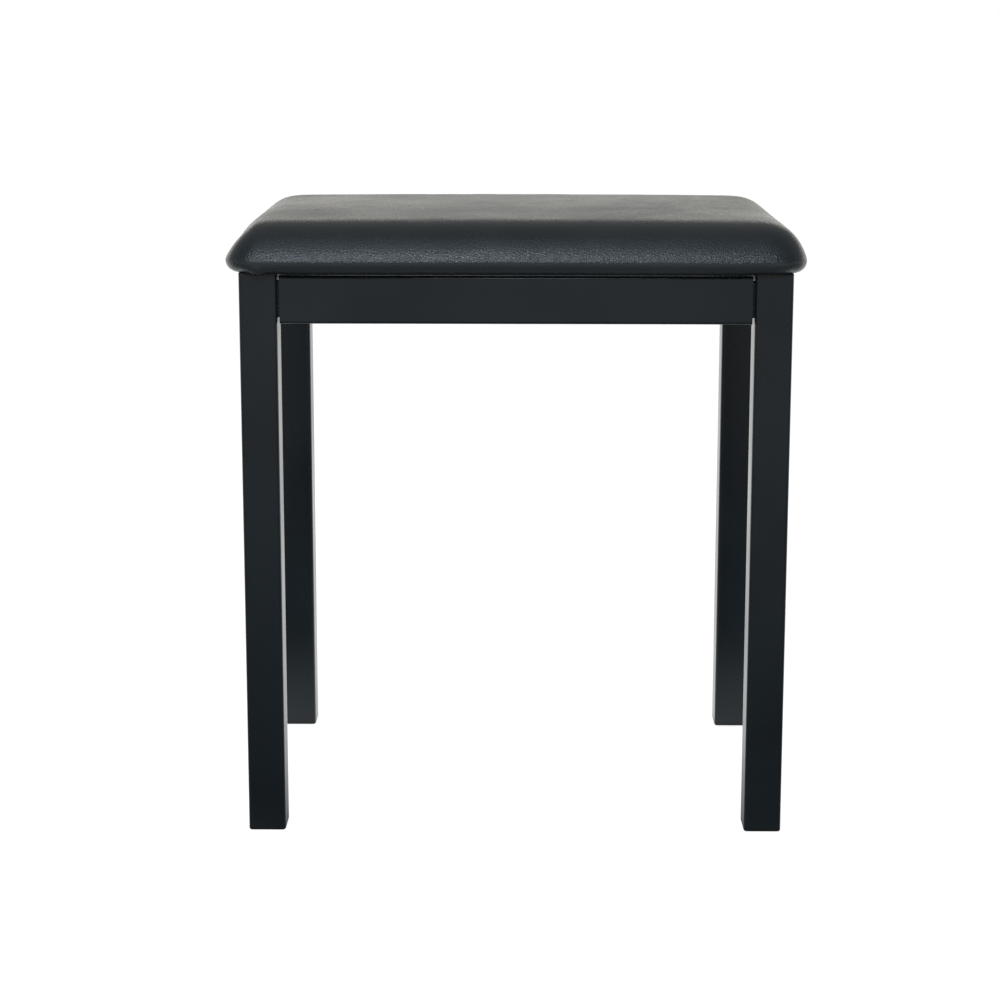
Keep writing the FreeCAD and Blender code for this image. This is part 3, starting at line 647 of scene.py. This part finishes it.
def make_foam():
    """The pad: over the board and down round its edges, with a pocket for the board."""
    board_low, board_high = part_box("seat_board")
    rings = []
    for share, inset, height in shoulder_profile(FOAM_DEPTH):
        rings.append([swollen(p) for p in seat_ring(share, inset, height, True)])
    bottom = board_low.z + FOAM_LIFT
    for share, inset, height in under_profile(FOAM_DEPTH, bottom):
        rings.append(seat_ring(share, inset, height, False))
    board_inset = HALF_WIDTH - board_high.x - FOAM_GAP
    pocket = board_high.z + FOAM_GAP
    rings.append(seat_ring(1.0, board_inset, bottom + 0.2 * MM, False))
    rings.append(seat_ring(1.0, board_inset, pocket - FOAM_GAP, False))
    rings.append(seat_ring(1.0, board_inset + 0.5 * MM, pocket, False))
    for share in FOAM_RINGS:
        rings.append(seat_ring(share, 0, pocket, False))
    points = [p for ring in rings for p in ring]
    faces = skin(rings, capped=False)
    top = WIDEST + SHOULDER_RISE - FOAM_DEPTH
    top_points, top_faces = core_sheet(len(points), top, False)
    points, faces = points + [swollen(p) for p in top_points], faces + top_faces
    low_points, low_faces = core_sheet(len(points), pocket, True)
    foam = new_piece("foam_pad", points + low_points, faces + low_faces, open_foam())
    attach(foam, "root")
    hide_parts("seat_foam")


make_foam()

# ------------------------------------------------------------------ the cover
# One piece of black leathercloth pulled tight over the foam, folded in small pleats at
# the corners and stapled under the board, where it is turned in by about 40 mm. It is
# embossed with a fine pebble grain.

LEATHER_DEEP = (0.0140, 0.0205, 0.0260, 1)
LEATHER_PALE = (0.0220, 0.0290, 0.0350, 1)
LEATHER_DUST = (0.090, 0.092, 0.092, 1)
SKIN = 1.0 * MM
TURNED_IN_SKIN = 0.85 * MM
UNDER_RINGS = (0.35, 0.7, 0.97)
CUT_EDGE_X = 179.5 * MM
CUT_EDGE_Y = 117 * MM
CUT_WANDER = 1.6 * MM
PLEATS_START = 0.8
PLEAT_DEPTH = 0.45 * MM
PLEAT_COUNT = 18
FOLD_X = -201.5 * MM
FOLD_WIDTH = 4.6 * MM
FOLD_DROP = 3.6 * MM
LIP = 1.0 * MM
LIP_FADES = 12 * MM
LEG_INSIDE_X = 187.5 * MM
LEG_INSIDE_Y = 125 * MM


def leathercloth():
    """Pebbles with fine valleys between them, rougher in the valleys and darkened there by painted
    shade, with a little lint.
    """
    finish, shader = new_finish("leathercloth", 0.5)
    place = place_on(finish)
    drift = step(finish, "TexNoise", {"Vector": place, "Scale": 260, "Detail": 2})
    pushed = step(
        finish,
        "VectorMath",
        {0: drift.outputs["Color"], 1: (0.0016, 0.0016, 0.0016), 2: place},
        operation="MULTIPLY_ADD",
    ).outputs[0]
    cells = step(
        finish,
        "TexVoronoi",
        {"Vector": pushed, "Scale": 450},
        feature="DISTANCE_TO_EDGE",
    ).outputs["Distance"]
    pebbles = spread(finish, cells, 0.0, 0.40, 0, 1)
    creases = cloud(finish, place, 150, 4, 0.6, 0.4)
    swell = cloud(finish, place, 28, 3)
    patches = cloud(finish, place, 11, 4)
    lint = specks(finish, 75, 0.045, 0.06)
    base = tint(finish, spread(finish, patches, 0.35, 0.65, 0, 1), LEATHER_DEEP, LEATHER_PALE)
    # painted shade: the valleys between the pebbles are darkened
    base = tint(finish, spread(finish, pebbles, 0.0, 0.6, 0.45, 0), base, LEATHER_DEEP)
    base = tint(finish, times(finish, lint, 0.7), base, LEATHER_DUST)
    gloss = spread(finish, pebbles, 0, 1, 0.36, 0.25)
    gloss = plus(finish, gloss, spread(finish, patches, 0.3, 0.7, -0.04, 0.04))
    grain = relief(finish, swell, 0.30 * MM)
    grain = relief(finish, creases, 0.05 * MM, grain)
    grain = relief(finish, pebbles, 0.115 * MM, grain)
    feed(finish, shader, Base_Color=base, Roughness=gloss, Normal=grain)
    return finish


def pleat(point):
    """Depth of the gathered folds that run in to the corners under the cushion."""
    from_x, from_y = abs(point.x) - CORE_X, abs(point.y) - CORE_Y
    if from_x <= 0 or from_y <= 0:
        return 0.0
    angle = math.atan2(from_y / SHOULDER_Y, from_x / SHOULDER_X)
    near = math.sin(2 * angle) ** 2
    return near * math.cos(angle * PLEAT_COUNT)


def hang_at(point, turn):
    """Drop of the loose fold in front of the left front leg, turn 0 to 1 down the side."""
    if point.y > -CORE_Y:
        return 0.0
    from_fold = (point.x - FOLD_X) / FOLD_WIDTH
    return FOLD_DROP * math.exp(-from_fold * from_fold) * math.sin(math.pi * turn) ** 0.8


def lip_at(point, turn):
    """Drop of the cover's lower edge, which hangs a little between the legs."""
    from_legs = max(LEG_INSIDE_X - abs(point.x), LEG_INSIDE_Y - abs(point.y))
    return LIP * min(1.0, max(0.0, from_legs / LIP_FADES)) * turn * turn


def make_cover():
    """Outer skin from the top down and in to the cut edge, then the inner skin back up."""
    rings = []
    outer = [(s, i, h, True) for s, i, h in shoulder_profile(0)]
    outer += [(s, i, h, False) for s, i, h in under_profile(0, UNDERSIDE)]
    for number, (share, inset, height, crowned) in enumerate(outer):
        ring = seat_ring(share, inset, height, crowned)
        lower = max(0.0, (number - SHOULDER_STEPS * PLEATS_START) / UNDER_STEPS)
        if crowned:
            ring = [swollen(point) for point in ring]
        for point in ring:
            fold = pleat(point) * min(1.0, lower) * PLEAT_DEPTH
            point.x -= math.copysign(max(0.0, -fold), point.x) * share
            point.y -= math.copysign(max(0.0, -fold), point.y) * share
            if not crowned:
                turn = (number - SHOULDER_STEPS) / UNDER_STEPS
                point.z -= hang_at(point, turn) + lip_at(point, turn)
        rings.append(ring)
    under = seat_ring(1.0, UNDER_ROLL, UNDERSIDE, False)
    edge = [cut_edge(point) for point in under]
    for share in UNDER_RINGS + (1.0,):
        rings.append([a.lerp(b, share) for a, b in zip(under, edge)])
    lift = Vector((0, 0, TURNED_IN_SKIN))
    rings.append([p + lift for p in rings[-1]])
    for share in UNDER_RINGS[::-1]:
        rings.append([a.lerp(b, share) + lift for a, b in zip(under, edge)])
    inner = [(s, i, h, False) for s, i, h in under_profile(SKIN, UNDERSIDE + lift.z)][::-1]
    inner += [(s, i, h, True) for s, i, h in shoulder_profile(SKIN)][::-1]
    for share, inset, height, crowned in inner:
        ring = seat_ring(share, inset, height, crowned)
        rings.append([swollen(point) for point in ring] if crowned else ring)
    points = [p for ring in rings for p in ring]
    faces = skin(rings, capped=False)
    for top in (WIDEST + SHOULDER_RISE, WIDEST + SHOULDER_RISE - SKIN):
        sheet_points, sheet_faces = core_sheet(len(points), top, False)
        sheet_points = [swollen(point) for point in sheet_points]
        points, faces = points + sheet_points, faces + sheet_faces
    cover = new_piece("cushion_cover", points, faces, leathercloth())
    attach(cover, "root")
    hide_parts("seat_cover")


def cut_edge(point):
    """Where the leathercloth's cut edge lies under the board, a little uneven."""
    x = math.copysign(min(abs(point.x), CUT_EDGE_X), point.x)
    y = math.copysign(min(abs(point.y), CUT_EDGE_Y), point.y)
    wander = noise.noise(Vector((x * 22, y * 22, 5.0))) * CUT_WANDER
    return Vector((x - math.copysign(wander, x), y - math.copysign(wander, y), UNDERSIDE))


make_cover()

# ------------------------------------------------------------------ the lining
# Thin black spun-bonded cloth that hides the board and the cover's cut edges. It is
# cut to size with raw edges and stapled all round, a little slack between staples.

CLOTH_DEEP = (0.007, 0.0075, 0.008, 1)
CLOTH_PALE = (0.019, 0.020, 0.021, 1)
LINING_SAG = 1.3 * MM
LINING_BODY = 0.22 * MM
LINING_COLUMNS = 150
LINING_ROWS = 100
RIPPLE = 0.5 * MM
PUCKER = 0.35 * MM
PUCKER_REACH = 12 * MM
PUCKER_SPREAD = 9 * MM
RAW_EDGE_WANDER = 0.4 * MM


def spun_cloth():
    """Fine fibres bonded in a grid of small dots."""
    finish, shader = new_finish("spun_cloth", 0.3)
    place = place_on(finish)
    fibres = cloud(finish, place_on(finish, (1, 0.3, 1)), 2200, 4, 0.7, 0.5)
    other = cloud(finish, place_on(finish, (0.3, 1, 1)), 2000, 4, 0.7, 0.5)
    mixed = plus(finish, times(finish, fibres, 0.5), times(finish, other, 0.5))
    dots = step(
        finish,
        "TexVoronoi",
        {"Vector": place, "Scale": 620, "Randomness": 0.08},
    ).outputs["Distance"]
    pressed = spread(finish, dots, 0.22, 0.34, 1, 0)
    clouds = cloud(finish, place, 60, 4)
    base = tint(finish, spread(finish, mixed, 0.38, 0.62, 0, 1), CLOTH_DEEP, CLOTH_PALE)
    base = tint(finish, spread(finish, clouds, 0.4, 0.7, 0, 0.5), base, CLOTH_DEEP)
    base = tint(finish, times(finish, pressed, 0.6), base, CLOTH_DEEP)
    gloss = spread(finish, pressed, 0, 1, 0.85, 0.5)
    body = relief(finish, mixed, 0.12 * MM)
    body = relief(finish, pressed, -0.08 * MM, body)
    feed(finish, shader, Base_Color=base, Roughness=gloss, Normal=body)
    shader.inputs["Sheen Weight"].default_value = 0.15
    shader.inputs["Sheen Roughness"].default_value = 0.5
    return finish


STAPLE_PITCH = 33 * MM
STAPLE_INSET = 4.5 * MM
STAPLE_ENDS = 9 * MM


def staple_spots(high):
    """Where the staples go round the lining: x, y and the way each one lies."""
    spots = []
    dice = random.Random(11)
    for side in (-1, 1):
        for along, across, turned in ((0, 1, False), (1, 0, True)):
            reach = high[along] - STAPLE_ENDS
            count = round(2 * reach / STAPLE_PITCH)
            for n in range(count + 1):
                run = -reach + 2 * reach * n / count + dice.uniform(-3, 3) * MM
                edge = side * (high[across] - STAPLE_INSET - dice.uniform(-1, 1) * MM)
                spot = (edge, run) if turned else (run, edge)
                tilt = (math.pi / 2 if turned else 0) + dice.uniform(-0.22, 0.22)
                spots.append((spot[0], spot[1], tilt))
    return spots


def make_lining(spots):
    """The sheet: sags in the middle, ripples, and is drawn up at each staple."""
    low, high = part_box("seat_lining")
    columns, rows = LINING_COLUMNS, LINING_ROWS
    points, faces = [], []
    for layer in (0, 1):
        for row in range(rows + 1):
            for column in range(columns + 1):
                x = low.x + (high.x - low.x) * column / columns
                y = low.y + (high.y - low.y) * row / rows
                in_x = 1 - (x / high.x) ** 2
                in_y = 1 - (y / high.y) ** 2
                fall = LINING_SAG * (in_x * in_y) ** 0.6
                ripple = noise.noise(Vector((x * 16, y * 16, 3.0))) * RIPPLE
                fall += ripple * min(1, 4 * in_x * in_y)
                edge = min(high.x - abs(x), high.y - abs(y))
                if edge < PUCKER_REACH:
                    near = min((x - a) ** 2 + (y - b) ** 2 for a, b, tilt in spots)
                    pucker = 1 - math.exp(-near / PUCKER_SPREAD ** 2)
                    fall += pucker * PUCKER * (1 - edge / PUCKER_REACH)
                wander = noise.noise(Vector((x * 40, y * 40, 9.0))) * RAW_EDGE_WANDER
                x += wander * (1 if abs(x) > high.x - MM else 0)
                y += wander * (1 if abs(y) > high.y - MM else 0)
                top = high.z - 0.02 * MM - fall
                points.append(Vector((x, y, top - layer * LINING_BODY)))
    count = (columns + 1) * (rows + 1)
    for row in range(rows):
        for column in range(columns):
            at = row * (columns + 1) + column
            quad = (at, at + 1, at + columns + 2, at + columns + 1)
            faces.append(quad)
            faces.append(tuple(count + n for n in quad)[::-1])
    border = list(range(columns))
    border += [columns + n * (columns + 1) for n in range(rows)]
    border += [count - 1 - n for n in range(columns)]
    border += [rows * (columns + 1) - n * (columns + 1) for n in range(rows)]
    for n, here in enumerate(border):
        after = border[(n + 1) % len(border)]
        faces.append((here, after, count + after, count + here))
    lining = new_piece("lining", points, faces, spun_cloth())
    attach(lining, "root")
    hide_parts("seat_lining")


lining_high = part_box("seat_lining")[1]
staple_places = staple_spots(lining_high)
make_lining(staple_places)

# ------------------------------------------------------------------ the staples
# Fine-wire steel staples, 10 mm across the crown, driven by hand through the lining
# and the turned-in cover into the board.

STAPLE_WIDTH = 10 * MM
STAPLE_WIRE = 0.42 * MM
STAPLE_BEND = 0.9 * MM
STAPLE_BEND_STEPS = 4
STAPLE_LEG = 2.2 * MM
STAPLE_STANDS = 0.75 * MM
STAPLE_SIDES = 8
STAPLE_FLATNESS = 0.6


def staple_wire():
    """The bent wire of one staple, as points in its own plane: along and down."""
    half = STAPLE_WIDTH / 2
    wire = [(-half, -STAPLE_LEG)]
    for n in range(STAPLE_BEND_STEPS + 1):
        turn = n / STAPLE_BEND_STEPS * math.pi / 2
        along = -half + STAPLE_BEND * (1 - math.cos(turn))
        wire.append((along, STAPLE_BEND * (math.sin(turn) - 1)))
    return wire + [(-along, down) for along, down in wire[::-1]]


def make_staples(spots):
    """Every staple, its crown flat on the lining."""
    points, faces = [], []
    wire = staple_wire()
    crown = lining_high.z - STAPLE_STANDS
    for x, y, tilt in spots:
        rings = []
        way = Vector((math.cos(tilt), math.sin(tilt), 0))
        across = Vector((-way.y, way.x, 0))
        for n, (along, down) in enumerate(wire):
            before, after = wire[max(0, n - 1)], wire[min(len(wire) - 1, n + 1)]
            run = way * (after[0] - before[0]) + Vector((0, 0, before[1] - after[1]))
            side = run.normalized().cross(across)
            middle = Vector((x, y, crown)) + way * along + Vector((0, 0, -down))
            ring = []
            for k in range(STAPLE_SIDES):
                turn = k / STAPLE_SIDES * math.tau
                wide = across * math.cos(turn) * STAPLE_WIRE
                high = side * math.sin(turn) * STAPLE_WIRE * STAPLE_FLATNESS
                ring.append(middle + wide + high)
            rings.append(ring)
        first = len(points)
        points += [p for ring in rings for p in ring]
        faces += [tuple(first + n for n in face) for face in skin(rings)]
    staples = new_piece("lining_staples", points, faces, zinc_plate)
    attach(staples, "root")


make_staples(staple_places)

# ------------------------------------------------------------------ the seat fixing
# Four zinc-plated cross-head screws come up through the side rails, each with a washer
# below and a plastic spacer above, which holds the seat 2 mm clear of the frame.

refinish(["seat_screw_" + corner for corner in CORNERS], zinc_plate)
refinish(["seat_washer_" + corner for corner in CORNERS], zinc_plate)
refinish(["seat_spacer_" + corner for corner in CORNERS], plug_plastic)

# ------------------------------------------------------------------ floor and light
# A plain white studio floor and a white wall behind; the room is grey in front and dark
# above. A low, narrow soft box lights the cushion's front edge and a wide, dim one hangs
# high in front. Gloss shows the floor brighter behind the bench and far in front of it.

FLOOR_SIZE = 400
FLOOR_GLOW = 0.80
BACK_GLOW = 0.95
BACK_STARTS = -0.20
BACK_FULL = 0.16
FAR_GLOW = 0.61
FAR_FULL = -3.6
FAR_STARTS = -0.6
FLOOR_GREY = 0.46
FLOOR_WHITE = 0.86


def make_floor():
    """White and a little lit from within; seen from below it isn't there."""
    half = FLOOR_SIZE / 2
    corners = [(-half, -half, 0), (half, -half, 0), (half, half, 0), (-half, half, 0)]
    finish, shader = new_finish("studio_floor", 0.0)
    shader.inputs["Roughness"].default_value = 1
    shader.inputs["Emission Color"].default_value = (1, 1, 1, 1)
    seen = step(finish, "LightPath", {}).outputs["Is Camera Ray"]
    depth = step(finish, "SeparateXYZ", {0: place_on(finish)}).outputs[1]
    behind = spread(finish, depth, BACK_STARTS, BACK_FULL, 0, 1)
    in_front = spread(finish, depth, FAR_FULL, FAR_STARTS, 1, 0)
    ends = plus(finish, times(finish, behind, BACK_GLOW), times(finish, in_front, FAR_GLOW))
    glow = step(finish, "Mix", {0: seen, 2: ends, 3: FLOOR_GLOW}, data_type="FLOAT").outputs[0]
    paint = plus(finish, plus(finish, behind, in_front), seen)
    base = spread(finish, paint, 0, 1, FLOOR_GREY, FLOOR_WHITE)
    feed(finish, shader, Base_Color=base, Emission_Strength=glow)
    clear = step(finish, "BsdfTransparent", {}).outputs[0]
    below = step(finish, "NewGeometry", {}).outputs["Backfacing"]
    both = step(finish, "MixShader", {0: below, 1: shader.outputs[0], 2: clear}).outputs[0]
    output = finish.node_tree.nodes["Material Output"]
    finish.node_tree.links.new(both, output.inputs["Surface"])
    floor = new_piece("studio_floor", corners, [(0, 1, 2, 3)], finish, False)


make_floor()

WALL_LIGHT = 1.44
FRONT_GREY = 0.44
CEILING_DARK = 0.22
ROOM_WARMTH = (1.0, 0.985, 0.935, 1)


def paint_room():
    """White to the camera; for light, a white wall behind, grey in front, dark above."""
    room = bpy.data.worlds.new("studio_room")
    room.use_nodes = True
    bpy.context.scene.world = room
    way = step(room, "TexCoord", {}).outputs["Generated"]
    parts = step(room, "SeparateXYZ", {0: way})
    behind = spread(room, parts.outputs[1], -0.45, 0.15, FRONT_GREY, WALL_LIGHT)
    above = spread(room, parts.outputs[2], 0.155, 0.27, 1, CEILING_DARK)
    light = times(room, behind, above)
    seen = step(room, "LightPath", {}).outputs["Is Camera Ray"]
    strength = step(room, "Mix", {0: seen, 2: light, 3: 1.0}, data_type="FLOAT").outputs[0]
    background = room.node_tree.nodes["Background"]
    white = tint(room, seen, ROOM_WARMTH, (1, 1, 1, 1))
    room.node_tree.links.new(white, background.inputs["Color"])
    room.node_tree.links.new(strength, background.inputs["Strength"])


paint_room()

SEAT_MIDDLE = Vector((0, 0, 0.47))
BOX_COLOUR = (0.88, 1.0, 1.09)


def hang_soft_box(name, place, width, height, power):
    """A soft box, metres across and watts, turned to the middle of the seat."""
    light = bpy.data.lights.new(name, "AREA")
    light.shape = "RECTANGLE"
    light.size, light.size_y = width, height
    light.energy = power
    light.color = BOX_COLOUR
    box = bpy.data.objects.new(name, light)
    box.location = place
    box.visible_camera = False
    back = Vector(place) - SEAT_MIDDLE
    box.rotation_euler = back.to_track_quat("Z", "Y").to_euler()
    bpy.context.scene.collection.objects.link(box)


hang_soft_box("front_soft_box", (-0.30, -2.0, 1.73), 1.6, 0.15, 17.5)
hang_soft_box("high_soft_box", (-0.20, -1.35, 2.60), 1.6, 1.0, 4.5)

# ------------------------------------------------------------------ the camera
# Just right of the middle, a little above the seat and looking slightly down. A small
# shift of the lens sets the bench's height in the frame.

SENSOR = 36
LENS = 81.504
EYE = Vector((0.9 * MM, -1917 * MM, 659.2 * MM))
TURN_RIGHT = -0.0075
LOOK_DOWN = 0.187
TILT = 0.0012
RAISE = -0.06


def set_camera():
    """Turned right and down by the angles above, then tilted about its own view."""
    lens = bpy.data.cameras.new("camera")
    lens.sensor_width = SENSOR
    lens.lens = LENS
    lens.shift_y = RAISE
    lens.clip_start, lens.clip_end = 0.05, 100
    camera = bpy.data.objects.new("camera", lens)
    ahead = Vector((math.sin(TURN_RIGHT) * math.cos(LOOK_DOWN),
                    math.cos(TURN_RIGHT) * math.cos(LOOK_DOWN), -math.sin(LOOK_DOWN)))
    right = Vector((math.cos(TURN_RIGHT), -math.sin(TURN_RIGHT), 0))
    up = right.cross(ahead)
    right, up = (right * math.cos(TILT) + up * math.sin(TILT),
                 up * math.cos(TILT) - right * math.sin(TILT))
    turned = Matrix((right, up, -ahead)).transposed()
    camera.matrix_world = Matrix.Translation(EYE) @ turned.to_4x4()
    bpy.context.scene.collection.objects.link(camera)
    bpy.context.scene.camera = camera


set_camera()
bpy.context.scene.view_settings.view_transform = "Standard"
